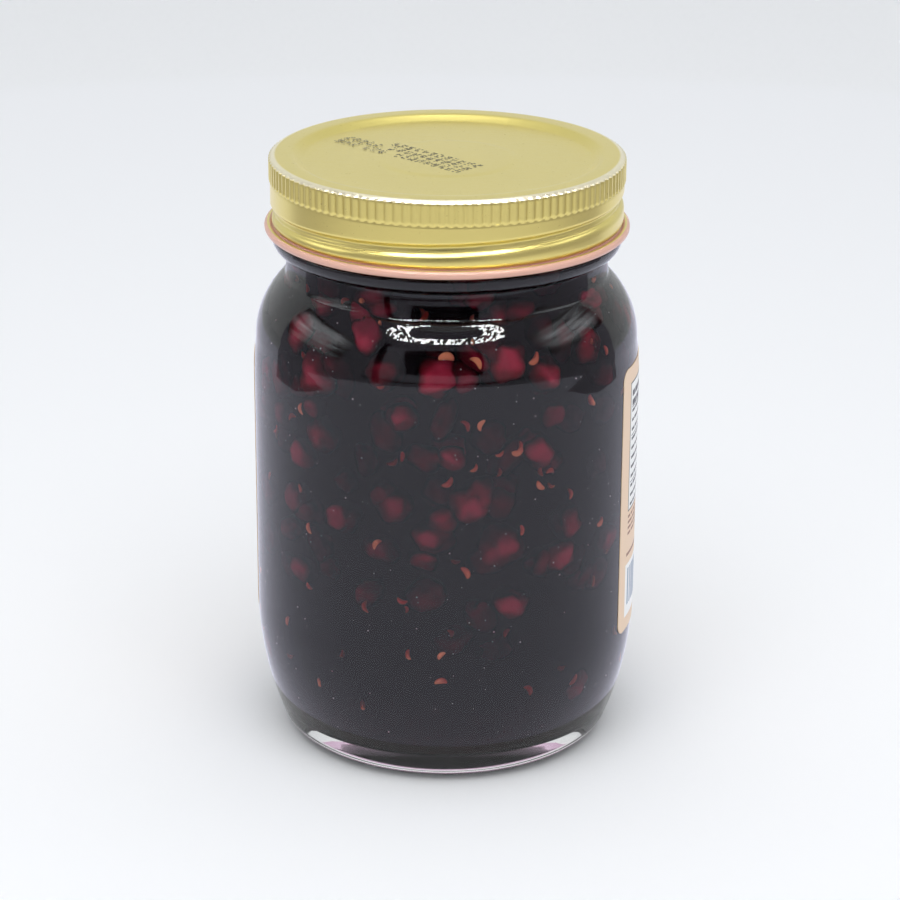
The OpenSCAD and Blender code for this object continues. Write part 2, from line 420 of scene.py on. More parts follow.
def finish_piece(obj, materials, slot, *nodes):
    """Gives a piece its materials, unless it has them, puts it under the root body and hides the CAD nodes it
    stands for; slot is not used.
    """
    if materials:
        obj.data.materials.clear()
    for material in materials:
        obj.data.materials.append(material)
    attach(obj, "root")
    if nodes:
        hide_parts(*nodes)


def use_second_material(obj, test):
    """Gives the second material to the faces whose middle passes a test of its radius and height."""
    for face in obj.data.polygons:
        c = face.center
        face.material_index = int(test(math.hypot(c.x, c.y), c.z))


# ---------------------------------------------------------------- materials


def linear(hex_colour):
    """An sRGB hex colour as linear RGBA."""
    parts = [int(hex_colour[i:i + 2], 16) / 255 for i in (1, 3, 5)]
    return tuple(c / 12.92 if c <= 0.04045 else ((c + 0.055) / 1.055) ** 2.4 for c in parts) + (1.0,)


def shade(colour_value, factor):
    """A linear colour made darker by a factor."""
    return tuple(c * factor for c in colour_value[:3]) + (1.0,)


def new_material(name):
    material = bpy.data.materials.new(name)
    material.use_nodes = True
    material.node_tree.nodes.clear()
    return material, material.node_tree


def add_node(tree, kind, inputs=None, **options):
    """Adds a node, sets its options, and sets or links each named or numbered input."""
    node = tree.nodes.new("ShaderNode" + kind)
    for key, value in options.items():
        setattr(node, key, value)
    for key, value in (inputs or {}).items():
        socket = node.inputs[key]
        if isinstance(value, bpy.types.NodeSocket):
            tree.links.new(value, socket)
        else:
            socket.default_value = value
    return node


def coordinates(tree, kind="Object"):
    return add_node(tree, "TexCoord").outputs[kind]


def grain(tree, scale, detail, stretch=None, turn=(0.0, 0.0, 0.0)):
    """Noise in the piece's own coordinates, its scale per metre."""
    vector = coordinates(tree)
    if stretch:
        mapping = {"Vector": vector, "Rotation": turn, "Scale": stretch}
        vector = add_node(tree, "Mapping", mapping).outputs["Vector"]
    return add_node(tree, "TexNoise", {"Vector": vector, "Scale": scale, "Detail": detail}).outputs["Fac"]


def two_tone(tree, fac, low, high, start=0.0, end=1.0):
    """Goes from one linear colour to another while fac goes from start to end."""
    ramp = add_node(tree, "ValToRGB", {"Fac": fac})
    for element, place, tone in zip(ramp.color_ramp.elements, (start, end), (low, high)):
        element.position = place
        element.color = tone
    return ramp.outputs["Color"]


def remap(tree, value, start, end, low=0.0, high=1.0, kind="LINEAR"):
    node = add_node(tree, "MapRange", {
        "Value": value, "From Min": start, "From Max": end, "To Min": low, "To Max": high},
        interpolation_type=kind)
    return node.outputs["Result"]


def calculate(tree, operation, a, b):
    return add_node(tree, "Math", {0: a, 1: b}, operation=operation).outputs[0]


def blend(tree, fac, a, b):
    return add_node(tree, "Mix", {0: fac, 6: a, 7: b}, data_type="RGBA").outputs[2]


def bump(tree, height, strength, distance):
    inputs = {"Height": height, "Strength": strength, "Distance": distance}
    return add_node(tree, "Bump", inputs).outputs["Normal"]


def surface(tree, shader, volume=None):
    links = {"Surface": shader.outputs[0]}
    if volume:
        links["Volume"] = volume.outputs[0]
    add_node(tree, "OutputMaterial", links)


def principled(material, inputs, volume=None):
    """Ends a material with one Principled shader."""
    surface(material.node_tree, add_node(material.node_tree, "BsdfPrincipled", inputs), volume)
    return material


def container_glass(name, ior):
    """Clear soda-lime container glass, sharp outside; where jam wets it, it hardly reflects."""
    material, tree = new_material(name)
    # Moulded glass is very slightly wavy, some 12 mm from crest to crest
    wave = grain(tree, 80.0, 1.0)
    return principled(material, {
        "Base Color": (1.0, 1.0, 1.0, 1.0), "Roughness": 0.0, "IOR": ior,
        "Transmission Weight": 1.0, "Normal": bump(tree, wave, 0.12, 0.3 * MM)})


def jam_syrup():
    """Dark fruit syrup: clear red in a thin layer and black in a few millimetres."""
    jam = settings().jam
    material, tree = new_material("jam_syrup")
    volume = add_node(tree, "VolumeAbsorption", {"Color": linear(jam.deep), "Density": jam.density})
    return principled(material, {
        "Base Color": linear(jam.syrup), "Roughness": 0.0, "IOR": SYRUP_IOR,
        "Transmission Weight": jam.clearness}, volume)


def deep_jam():
    """Jam too deep to see into, almost black; near the floor, where the core lies just behind the glass, its
    near-black is painted shade.
    """
    material, tree = new_material("deep_jam")
    tone = two_tone(tree, grain(tree, 120.0, 2.0), linear("#140406"), linear("#2A070B"))
    return principled(material, {"Base Color": tone, "Roughness": 0.6, "Specular IOR Level": 0.0})


def fruit_flesh():
    """Soft cooked fruit: dull red flesh, mottled every 4 mm, with painted shade towards its sides and painted light
    in the shoulder.
    """
    jam = settings().jam
    material, tree = new_material("fruit_flesh")
    flesh = two_tone(tree, grain(tree, 260.0, 3.0), linear(jam.fruit_dark_hex), linear(jam.fruit_hex), 0.35, 0.65)
    # The attribute holds each piece's random tone, with painted shade on its sides and painted light in the
    # shoulder; where it is low, the flesh goes to a near-black painted shade colour
    pale = add_node(tree, "Attribute", attribute_name="tone_and_painted_light").outputs["Fac"]
    # Wet through with syrup, the flesh has no gloss of its own
    return principled(material, {
        "Base Color": blend(tree, pale, linear("#22070A"), flesh), "Roughness": 0.6, "Specular IOR Level": 0.0})


def seed_coat():
    """Hard berry seeds: tan to orange, with a pitted coat."""
    material, tree = new_material("seed_coat")
    tone = two_tone(tree, grain(tree, 90.0, 0.0), linear("#BC6943"), linear(settings().jam.seed_hex), 0.35, 0.65)
    return principled(material, {
        "Base Color": tone, "Roughness": 0.5, "Specular IOR Level": 0.1,
        "Normal": bump(tree, grain(tree, 1800.0, 1.0), 0.4, 0.1 * MM)})


def air_bubble():
    """Tiny bubbles and specks of pulp on the glass, shown as pale points; on the bubbles the pale colour is a
    painted glint for the light they catch.
    """
    return principled(new_material("air_bubble")[0], {
        "Base Color": linear("#E8DCDA"), "Roughness": 0.3, "Specular IOR Level": 0.5})


def painted_rim_highlight(tree):
    """1 on the round edge of the cap's top, where a near-white painted highlight is laid over the gold lacquer."""
    parts = add_node(tree, "SeparateXYZ", {"Vector": coordinates(tree)}).outputs
    flat = add_node(tree, "CombineXYZ", {"X": parts["X"], "Y": parts["Y"]})
    out = add_node(tree, "VectorMath", {0: flat.outputs[0]}, operation="LENGTH").outputs["Value"]
    edge = LID_BOX[1].x - 2.2 * MM
    top = LID_BOX[1].z
    near_edge = remap(tree, out, edge - 0.3 * MM, edge + 0.1 * MM, 0.0, 0.75)
    near_top = remap(tree, parts["Z"], top - 0.8 * MM, top - 0.5 * MM)
    return calculate(tree, "MULTIPLY", near_edge, near_top)


def gold_lacquer():
    """Tinplate under a satin gold lacquer: the rolled sheet's fine grain shows as short streaks."""
    material, tree = new_material("gold_lacquered_tinplate")
    # Rolling grain runs along one direction of the sheet, streaks about 0.4 mm wide and 6 mm long
    streaks = grain(tree, 2400.0, 2.0, stretch=(0.12, 1.0, 1.0), turn=(0.0, 0.0, 0.6))
    uneven = calculate(tree, "ADD", streaks, grain(tree, 3000.0, 1.0))
    return principled(material, {
        # The round top edge is blended towards near white, a painted highlight
        "Base Color": blend(tree, painted_rim_highlight(tree), linear(settings().cap.gold), linear("#F6F0DC")),
        "Metallic": 1.0, "Roughness": remap(tree, uneven, 0.6, 1.4, 0.27, 0.37),
        "Normal": bump(tree, uneven, 0.05, 0.02 * MM), "Coat Weight": 0.1, "Coat Roughness": 0.2})


def curl_lacquer():
    """The pinkish lacquer of the sheet's other side, which the curl turns outwards."""
    material, tree = new_material("curl_lacquer")
    return principled(material, {
        "Base Color": linear(settings().cap.pink),
        "Roughness": remap(tree, grain(tree, 900.0, 2.0), 0.0, 1.0, 0.35, 0.5),
        "Coat Weight": 0.3, "Coat Roughness": 0.2})


def ink(name, hex_colour):
    """Printing ink on paper: flat colour with a faint mottle."""
    material, tree = new_material(name)
    base = linear(hex_colour)
    tone = two_tone(tree, grain(tree, 700.0, 2.0), shade(base, 0.94), base)
    return principled(material, {"Base Color": tone, "Roughness": 0.45})


def label_paper():
    """Coated label paper: a fine tooth of about 0.3 mm and a weak sheen."""
    material, tree = new_material("coated_label_paper")
    tooth = grain(tree, 2500.0, 2.0)
    base = linear(settings().label.paper)
    return principled(material, {
        "Base Color": two_tone(tree, tooth, shade(base, 0.95), base), "Roughness": 0.5,
        "Normal": bump(tree, tooth, 0.1, 0.05 * MM)})


def floor_paint():
    """Matt white, like a studio's paper sweep."""
    return principled(new_material("matt_white_floor")[0], {"Base Color": linear("#F5F6F8"), "Roughness": 0.9})


def emission(material, colour_value, strength):
    """Ends a material with light of one colour, its strength a value or a pattern."""
    inputs = {"Color": colour_value, "Strength": strength}
    surface(material.node_tree, add_node(material.node_tree, "Emission", inputs))
    return material


def glowing(name, colour_value, strength=1.0):
    return emission(new_material(name)[0], colour_value, strength)


def ring_lamps():
    """Lamps behind a clear sheet: bright specks about 15 mm wide and 35 mm long on a dark ground."""
    material, tree = new_material("ring_lamps")
    lit = remap(tree, grain(tree, 38.0, 1.0, stretch=(1.0, 0.45, 0.45)), 0.5, 0.53, 0.5, 34.0)
    return emission(material, linear("#FFFFFF"), lit)


def tent_cloth():
    """Creased white cloth with a lamp behind it, its folds some 60 mm apart, darker towards its hems."""
    material, tree = new_material("tent_cloth")
    folds = grain(tree, 5.0, 3.0, stretch=(1.0, 0.35, 3.0), turn=(0.5, 0.3, 0.0))
    lit = remap(tree, folds, 0.36, 0.7, 0.5, 4.8)
    over = add_node(tree, "SeparateXYZ", {"Vector": coordinates(tree, "UV")}).outputs
    for axis in "XY":
        inwards = calculate(tree, "PINGPONG", over[axis], 0.5)
        hem = remap(tree, inwards, 0.0, 0.3, 0.25, 1.0, "SMOOTHSTEP")
        lit = calculate(tree, "MULTIPLY", lit, hem)
    return emission(material, linear("#F0F0F6"), lit)


# ---------------------------------------------------------------- pieces


class JAMJAR_OT_glass(bpy.types.Operator):
    """Spins the hollow glass from its outline"""

    bl_idname = "jam_jar.glass"
    bl_label = "Glass"

    def execute(self, context):
        jar = JarOutline()
        foot_in = jar.heel_x - jar.g.foot_w
        push_up = jar.g.push_up
        under = [(0.0, push_up), (foot_in - 10 * MM, push_up), (foot_in - 4 * MM, push_up * 0.75),
                 (foot_in - 1.5 * MM, push_up * 0.25)]
        points = under + jar.outside_points() + jar.rim_points() + jar.inside_points()[::-1]
        glass = lathe("jar_glass", points, jar.g.steps)
        smooth(glass, 50)
        finish_piece(glass, [container_glass("container_glass", GLASS_IOR),
                             container_glass("glass_wetted_by_jam", WETTED_IOR)], "glass", "glass")
        use_second_material(glass, lambda r, z: z > jar.floor - 0.1 * MM and r < jar.inner(z) + 0.4 * MM)
        return {"FINISHED"}


def core_point(jar, r, z, depth):
    """Moves a point of the inside wall into the jam, less far near the floor, where no light comes in."""
    up = z - jar.floor
    near = 0.35 * MM
    share_up = min(1.0, up / (20 * MM))
    inset = near + (depth - near) * share_up ** 2
    return max(0.0, r - inset), z + near * max(0.0, 1 - up / (8 * MM))


class JAMJAR_OT_syrup(bpy.types.Operator):
    """Fills the glass with syrup that reaches just into its wall, over an opaque core"""

    bl_idname = "jam_jar.syrup"
    bl_label = "Syrup"

    def execute(self, context):
        jar = JarOutline()
        jam = settings().jam
        top = JAM_BOX[1].z
        side = [(jar.bore_r + jam.reach, jar.height - jar.g.rim_r), (jar.bore_r - 0.6 * MM, top), (0.0, top)]
        syrup = lathe("jam_syrup", jar.inside_points(jam.reach) + side, jar.g.steps)
        smooth(syrup, 50)
        finish_piece(syrup, [jam_syrup()], "jam", "jam")
        points = [core_point(jar, r, z, jam.core_depth) for r, z in jar.inside_points()]
        core_side = [(jar.bore_r - jam.core_depth, top - 1 * MM), (0.0, top - 1 * MM)]
        core = lathe("jam_core", points + core_side, 64)
        smooth(core, 50)
        finish_piece(core, [deep_jam()], "jam")
        return {"FINISHED"}


def lump(seed, size):
    """A soft chunk: a ball with flats and low bulges."""
    deselect()
    bpy.ops.mesh.primitive_ico_sphere_add(subdivisions=3, radius=size / 2, location=(0, 0, 0))
    obj = bpy.context.object
    for v in obj.data.vertices:
        direction = v.co.normalized()
        boxy = 1.0 / max(abs(direction.x), abs(direction.y), abs(direction.z)) ** 0.2
        bulge = noise.noise(direction * 1.4 + Vector((seed * 7.3, 0, 0)))
        v.co = direction * size / 2 * (0.9 * boxy + 0.26 * bulge)
    return obj


def wall_point(jar, a, z, depth):
    """The point at an angle from the front, a height, and a depth from the inside of the glass."""
    r = jar.inner(z) - depth
    return Vector((r * math.sin(a), -r * math.cos(a), z))


def set_tone_and_painted_light(obj, values):
    # Each piece's random tone, with painted shade and painted light laid on it
    attribute = obj.data.attributes.get("tone_and_painted_light") or obj.data.attributes.new("tone_and_painted_light", "FLOAT", "POINT")
    attribute.data.foreach_set("value", values)


def paint_shade_on_sides(obj):
    """Paints shade on the sides of each piece, where more syrup lies between it and the glass."""
    tone_and_painted_light = obj.data.attributes["tone_and_painted_light"].data
    values = []
    for v, old in zip(obj.data.vertices, tone_and_painted_light):
        outward = Vector((v.co.x, v.co.y, 0)).normalized()
        facing = min(1.0, max(0.0, (v.normal.dot(outward) - 0.35) / 0.65))
        values.append(old.value * facing * facing * (3 - 2 * facing))
    set_tone_and_painted_light(obj, values)


def press_flat(obj, jar, gap):
    """Squashes a piece against the inside of the glass, a small gap away from it."""
    for v in obj.data.vertices:
        r = math.hypot(v.co.x, v.co.y)
        limit = jar.inner(v.co.z) - gap
        if r > limit:
            v.co.x *= limit / r
            v.co.y *= limit / r


class JAMJAR_OT_fruit(bpy.types.Operator):
    """Scatters pieces of cooked fruit in the syrup near the wall"""

    bl_idname = "jam_jar.fruit"
    bl_label = "Fruit"

    def execute(self, context):
        jar = JarOutline()
        jam = settings().jam
        rng = random.Random(11)
        templates = [lump(k, jam.fruit_size) for k in range(6)]
        pieces = []

        def add_piece(place, scale):
            """Adds a chunk, turned any way."""
            turn = rng.uniform(0, 6.28)
            axis = Vector([rng.gauss(0, 1) for _ in range(3)])
            matrix = Matrix.Translation(place) @ Matrix.Rotation(turn, 4, axis) @ Matrix.Diagonal(scale.to_4d())
            pieces.append(copy_at(rng.choice(templates), matrix))

        def give_tone_and_painted_light(tone_and_painted_light):
            set_tone_and_painted_light(pieces[-1], [tone_and_painted_light] * len(pieces[-1].data.vertices))

        for i in range(jam.fruit_count):
            # The fruit floats: only three in ten may lie in the lowest third
            low = 16 * MM if rng.random() < 0.3 else 40 * MM
            z = rng.uniform(low, jar.neck_z + 4 * MM)
            a = i * GOLDEN_ANGLE + rng.uniform(-0.3, 0.3)
            scale = Vector([rng.uniform(0.7, 1.25) * rng.uniform(0.85, 1.1) for _ in range(3)])
            depth = jam.fruit_size / 2 * max(scale) * 0.88 + (2.6 * rng.random() ** 1.4 - 0.1) * MM
            add_piece(wall_point(jar, a, z, depth), scale)
            give_tone_and_painted_light(0.25 + 0.6 * rng.random())
        for direction, height, share_of_size in FRONT_FRUIT:
            scale = Vector([share_of_size * rng.uniform(0.85, 1.2) for _ in range(3)])
            depth = jam.fruit_size / 2 * share_of_size * rng.uniform(0.86, 0.98)
            add_piece(wall_point(jar, math.radians(direction), height * MM, depth), scale)
            # Painted light: in the shoulder, where light falls in from above, the fruit's tone is raised
            give_tone_and_painted_light(rng.uniform(0.5, 0.75) + (0.35 if height > PAINTED_SHOULDER_LIGHT_HEIGHT else 0.0))
        remove(templates)
        fruit = join("fruit_pieces", pieces)
        press_flat(fruit, jar, 0.12 * MM)
        # The sides of the pieces get painted shade
        paint_shade_on_sides(fruit)
        smooth(fruit, 180)
        finish_piece(fruit, [fruit_flesh()], "jam")
        return {"FINISHED"}


def seed_shape(size, bend, width):
    """A berry seed: a flat oval bent towards a half moon, with blunt ends."""
    deselect()
    bpy.ops.mesh.primitive_uv_sphere_add(segments=10, ring_count=10, radius=size / 2, location=(0, 0, 0))
    obj = bpy.context.object
    for v in obj.data.vertices:
        along = v.co.z / (size / 2)
        blunt = max(0.02, 1 - along * along) ** -0.14
        v.co.x *= 0.4 * blunt
        v.co.y *= (width + 0.05 * along) * blunt
        v.co.y += size * bend * (1 - along * along)
    return obj


class JAMJAR_OT_seeds(bpy.types.Operator):
    """Scatters berry seeds in the syrup, most of them against the glass"""

    bl_idname = "jam_jar.seeds"
    bl_label = "Seeds"

    def execute(self, context):
        jar = JarOutline()
        jam = settings().jam
        rng = random.Random(5)
        templates = [seed_shape(jam.seed_length, bend, width)
                     for bend, width in ((0.22, 0.46), (0.16, 0.5), (0.25, 0.4))]
        seeds = []
        scattered = [
            (i * GOLDEN_ANGLE + rng.uniform(-0.4, 0.4), rng.uniform(14 * MM, jar.neck_z + 2 * MM),
             0.58 * MM + abs(rng.gauss(0, 0.8)) * MM, rng.uniform(0.62, 1.05))
            for i in range(jam.seed_count)]
        front = [(math.radians(direction), height * MM, 0.45 * MM, size)
                 for direction, height, size in FRONT_SEEDS]
        for a, z, depth, size in scattered + front:
            place = wall_point(jar, a, z, depth)
            turn = Matrix.Rotation(a, 4, "Z") @ Matrix.Rotation(rng.uniform(-0.5, 0.5), 4, "X")
            tilt = Matrix.Rotation(rng.uniform(-1.3, 1.3) if rng.random() < 0.4 else 0.3, 4, "Z")
            roll = Matrix.Rotation(rng.uniform(0, 6.28), 4, "Y")
            lie = Matrix.Rotation(math.pi / 2, 4, "Z")
            matrix = Matrix.Translation(place) @ turn @ tilt @ roll @ lie @ Matrix.Scale(size, 4)
            seeds.append(copy_at(rng.choice(templates), matrix))
        remove(templates)
        obj = join("seeds", seeds)
        press_flat(obj, jar, 0.06 * MM)
        smooth(obj, 180)
        finish_piece(obj, [seed_coat()], "jam")
        return {"FINISHED"}


class JAMJAR_OT_bubbles(bpy.types.Operator):
    """Scatters tiny bubbles just inside the glass"""

    bl_idname = "jam_jar.bubbles"
    bl_label = "Bubbles"

    def execute(self, context):
        jar = JarOutline()
        jam = settings().jam
        rng = random.Random(3)
        deselect()
        bpy.ops.mesh.primitive_ico_sphere_add(subdivisions=2, radius=jam.bubble_size / 2)
        template = bpy.context.object
        bubbles = []
        for i in range(jam.bubble_count):
            z = rng.uniform(9 * MM, jar.neck_z)
            a = i * GOLDEN_ANGLE + rng.uniform(-0.5, 0.5)
            place = wall_point(jar, a, z, (0.18 + 0.5 * rng.random() ** 3) * MM)
            size = 0.45 + 0.85 * rng.random() ** 2
            bubbles.append(copy_at(template, Matrix.Translation(place) @ Matrix.Scale(size, 4)))
        remove([template])
        obj = join("bubbles", bubbles)
        smooth(obj, 180)
        finish_piece(obj, [air_bubble()], "jam")
        return {"FINISHED"}


class CapLevels:
    """The heights and the skirt's radius that the cap's outline and its pressed relief share."""

    def __init__(self, cap):
        self.top, self.foot = LID_BOX[1].z, LID_BOX[0].z
        self.skirt = LID_BOX[1].x - cap.curl_r * 1.5
        self.knurl_high = self.top - cap.edge_r * 0.5
        self.knurl_low = self.top - cap.knurl_h
        self.band_top = self.knurl_low - 0.4 * MM
        self.band_low = self.foot + 1.75 * MM
        self.groove = self.top - 9.35 * MM


def cap_outline(cap):
    """The cap's outline from the middle of the top, over the curl and back up inside."""
    at = CapLevels(cap)
    top, foot, skirt = at.top, at.foot, at.skirt
    edge_x = skirt - 0.1 * MM - cap.edge_r
    recess = top - cap.recess_h
    slope_top = cap.recess_r + cap.recess_slope
    curl_z = foot + cap.curl_r
    curl_x = skirt + cap.curl_r / 2
    button = [(0.0, recess + cap.button_h), (cap.button_r - 1.2 * MM, recess + cap.button_h),
              (cap.button_r - 0.4 * MM, recess + cap.button_h * 0.8),
              (cap.button_r + 0.4 * MM, recess + cap.button_h * 0.2), (cap.button_r + 1.2 * MM, recess)]
    floor = [(cap.recess_r - 4 * MM, recess), (cap.recess_r - 0.8 * MM, recess),
             (cap.recess_r - 0.3 * MM, recess + 0.05 * MM), (cap.recess_r + 0.1 * MM, recess + 0.18 * MM)]
    step = [(slope_top - 0.4 * MM, top - 0.26 * MM), (slope_top - 0.05 * MM, top - 0.08 * MM),
            (slope_top + 0.4 * MM, top - 0.01 * MM), (slope_top + 1.0 * MM, top)]
    edge = arc(edge_x, top - cap.edge_r, cap.edge_r, 90, 10, 6)
    knurl = [(skirt - 0.1 * MM, top - cap.edge_r - 0.1 * MM + (at.knurl_low - top + cap.edge_r) * i / 20)
             for i in range(21)]
    band = [(skirt, at.band_top + (at.band_low - at.band_top) * i / 40) for i in range(41)]
    tuck = [(skirt - 0.7 * MM, foot + 1.55 * MM)]
    curl = arc(curl_x, curl_z, cap.curl_r, 150, -170, 20)
    inner_x = skirt - cap.sheet - cap.thread_depth
    inside = [(inner_x - 0.5 * MM, curl_z + 0.3 * MM), (inner_x, foot + 2.9 * MM), (inner_x, top - 1.3 * MM),
              (slope_top + 0.6 * MM, top - 0.9 * MM), (slope_top, top - 0.9 * MM),
              (cap.recess_r, recess - cap.sheet), (0.0, recess - cap.sheet)]
    return button + floor + step + edge + knurl + band + tuck + curl + inside


def rolled_thread(above, over_foot, depth, fade):
    """How far the skirt is pressed in, at a height above the groove and above the bead's foot."""
    if above >= 0:
        dent = depth * max(0.0, 1 - above / (1.1 * MM)) ** 2.0
    else:
        below = -above
        ridge = 0.2 * MM * math.exp(-((below - 0.95 * MM) / (0.3 * MM)) ** 2)
        swell = min(1.0, max(0.0, below - 1.3 * MM) / (1.9 * MM))
        dent = depth * (1 - math.sqrt(1 - (1 - swell) ** 2)) - ridge
    tuck = min(1.0, max(0.0, 1 - over_foot / (1.5 * MM)))
    return dent * fade + 0.6 * MM * (1 - math.sqrt(1 - tuck ** 2))


def knurl_shape(phase, along):
    """Height of a knurl, 0 to 1: a rounded rib with round ends."""
    half = 0.34 * math.sqrt(max(0.0, 1 - max(0.0, abs(along) - 0.8) ** 2 / 0.2 ** 2))
    return max(0.0, min(1.0, (half - abs(phase)) / 0.14 + 0.5)) if half > 0.02 else 0.0


class JAMJAR_OT_cap(bpy.types.Operator):
    """Spins the gold cap, presses its knurls and rolls its thread"""

    bl_idname = "jam_jar.cap"
    bl_label = "Cap"

    def execute(self, context):
        cap_set = settings().cap
        at = CapLevels(cap_set)
        cap = lathe("screw_cap", cap_outline(cap_set), cap_set.knurls * 6)
        for v in cap.data.vertices:
            r = math.hypot(v.co.x, v.co.y)
            # The sheet's inner side stays round
            if r < at.skirt - 0.8 * MM:
                continue
            push = self.relief(cap_set, at, math.atan2(v.co.x, -v.co.y), v.co.z)
            v.co.x *= 1 + push / r
            v.co.y *= 1 + push / r
        smooth(cap, 180)
        finish_piece(cap, [gold_lacquer(), curl_lacquer()], "lid", "lid")
        curl_top = at.foot + 2 * cap_set.curl_r - 0.05 * MM
        use_second_material(cap, lambda r, z: z < curl_top and r > at.skirt - 0.7 * MM)
        return {"FINISHED"}

    def relief(self, cap, at, a, z):
        """How far the skirt is pressed out at an angle and a height; less than 0 is pressed in."""
        if at.knurl_low - 0.2 * MM < z < at.knurl_high + 0.2 * MM:
            middle, half = (at.knurl_high + at.knurl_low) / 2, (at.knurl_high - at.knurl_low) / 2
            phase = (a / (2 * math.pi) * cap.knurls) % 1.0 - 0.5
            return cap.knurl_depth * knurl_shape(phase, (z - middle) / half)
        if at.band_low - 0.05 * MM < z < at.band_top + 0.1 * MM:
            # The thread runs out towards the back
            fade = max(0.0, min(1.0, (math.radians(150) - abs(a)) / math.radians(40)))
            groove = at.groove + cap.thread_pitch * a / (2 * math.pi)
            return -rolled_thread(z - groove, z - at.band_low, cap.thread_depth, fade)
        return 0.0


class JAMJAR_OT_code(bpy.types.Operator):
    """Sprays rows of ink dots on the cap, which stand for a packing code and can't be read"""

    bl_idname = "jam_jar.code"
    bl_label = "Ink dots"

    def execute(self, context):
        cap = settings().cap
        rng = random.Random(8)
        deselect()
        bpy.ops.mesh.primitive_circle_add(vertices=8, radius=0.22 * MM, fill_type="NGON")
        template = bpy.context.object
        floor = LID_BOX[1].z - cap.recess_h + cap.button_h + 0.02 * MM
        start, end = Vector((-20.5 * MM, 15.5 * MM, 0)), Vector((6.5 * MM, -10.5 * MM, 0))
        along = (end - start).normalized()
        across = Vector((-along.y, along.x, 0))
        step, row_step, mark_step = 0.5 * MM, 2.8 * MM, 4.2
        marks = int((end - start).length / (mark_step * step))
        dots = []
        for row, mark in itertools.product(range(3), range(marks)):
            # The first row starts further along, and a few marks are left out like spaces
            if row == 0 and mark < 5 or rng.random() < 0.08:
                continue
            for col, line in itertools.product(range(3), range(5)):
                if rng.random() >= 0.62:
                    continue
                place = start + along * (mark * mark_step + col) * step
                place += across * ((1 - row) * row_step + (line - 2) * step * 0.95)
                place += Vector((rng.gauss(0, 0.05), rng.gauss(0, 0.05), 0)) * MM
                place.z = floor
                size = rng.uniform(0.7, 1.15)
                dots.append(copy_at(template, Matrix.Translation(place) @ Matrix.Scale(size, 4)))
        remove([template])
        obj = join("cap_ink_dots", dots)
        finish_piece(obj, [ink("dark_ink", "#3A372C")], "lid")
        return {"FINISHED"}


def bend_round_jar(obj, jar, lift):
    """Bends a flat piece drawn in the xz plane, x along the label, round the jar."""
    label = settings().label
    for v in obj.data.vertices:
        a = label.end + v.co.x / jar.body_r
        r = jar.outer(v.co.z) + lift + v.co.y
        v.co = (r * math.sin(a), -r * math.cos(a), v.co.z)


def round_corners(radius, segments):
    """Rounds the corners of the flat piece that was just added."""
    bpy.ops.object.mode_set(mode="EDIT")
    bpy.ops.mesh.bevel(offset=radius, segments=segments, affect="VERTICES")
    bpy.ops.object.mode_set(mode="OBJECT")


def bisect(obj, places, direction):
    """Cuts a flat piece at places along a direction, so that it can bend."""
    pick(obj)
    bpy.ops.object.mode_set(mode="EDIT")
    for place in places:
        bpy.ops.mesh.select_all(action="SELECT")
        bpy.ops.mesh.bisect(plane_co=direction * place, plane_no=direction)
    bpy.ops.object.mode_set(mode="OBJECT")


def cut_for_bending(obj, length_m):
    """Cuts a flat piece into upright strips and into rows, as the jar's wall isn't quite straight."""
    step, rows = 1.2 * MM, 16
    low, high = LABEL_BOX[0].z, LABEL_BOX[1].z
    bisect(obj, [i * step for i in range(1, int(length_m / step) + 1)], Vector((1, 0, 0)))
    bisect(obj, [low + (high - low) * i / rows for i in range(1, rows)], Vector((0, 0, 1)))


class JAMJAR_OT_label(bpy.types.Operator):
    """Cuts the paper label with round corners and bends it round the jar"""

    bl_idname = "jam_jar.label"
    bl_label = "Label"

    def execute(self, context):
        jar = JarOutline()
        label = settings().label
        low, high = LABEL_BOX[0].z, LABEL_BOX[1].z
        thickness = (LABEL_BOX[1].x - jar.body_r) * PAPER_SHARE
        length_m = label.span * jar.body_r
        deselect()
        bpy.ops.mesh.primitive_plane_add(size=1.0, rotation=(math.pi / 2, 0, 0))
        obj = bpy.context.object
        obj.scale = (length_m, high - low, 1)
        obj.location = (length_m / 2, 0, (low + high) / 2)
        bpy.ops.object.transform_apply(location=True, rotation=True, scale=True)
        round_corners(label.corner_r, 10)
        named("paper_label")
        cut_for_bending(obj, length_m)
        bend_round_jar(obj, jar, 0.0)
        pick(obj)
        solid = obj.modifiers.new("paper", "SOLIDIFY")
        solid.thickness = thickness
        solid.offset = 1.0
        bpy.ops.object.modifier_apply(modifier=solid.name)
        bpy.ops.object.mode_set(mode="EDIT")
        close_mesh()
        smooth(obj, 40)
        finish_piece(obj, [label_paper()], "label", "label")
        return {"FINISHED"}


def shown_only_in_gloss(obj):
    """A studio panel that is seen in glossy reflections and nowhere else."""
    for ray in ("camera", "diffuse", "transmission", "shadow", "volume_scatter"):
        setattr(obj, "visible_" + ray, False)


def facing_jar(azimuth, elevation, distance, width, height, aim=0.09):
    """Places a unit shape so that it faces the jar from a direction, in degrees, azimuth 0 at the front."""
    a, e = math.radians(azimuth), math.radians(elevation)
    towards = Vector((math.sin(a) * math.cos(e), -math.cos(a) * math.cos(e), math.sin(e)))
    turn = towards.to_track_quat("Z", "Y").to_matrix().to_4x4()
    centre = Vector((0, 0, aim)) + towards * distance
    return Matrix.Translation(centre) @ turn @ Matrix.Diagonal((width, height, 1, 1))


def panel(name, material, *place):
    """A flat panel of the studio, its place as facing_jar takes it."""
    deselect()
    bpy.ops.mesh.primitive_plane_add(size=1.0)
    obj = named(name)
    obj.data.transform(facing_jar(*place))
    obj.data.materials.append(material)
    shown_only_in_gloss(obj)


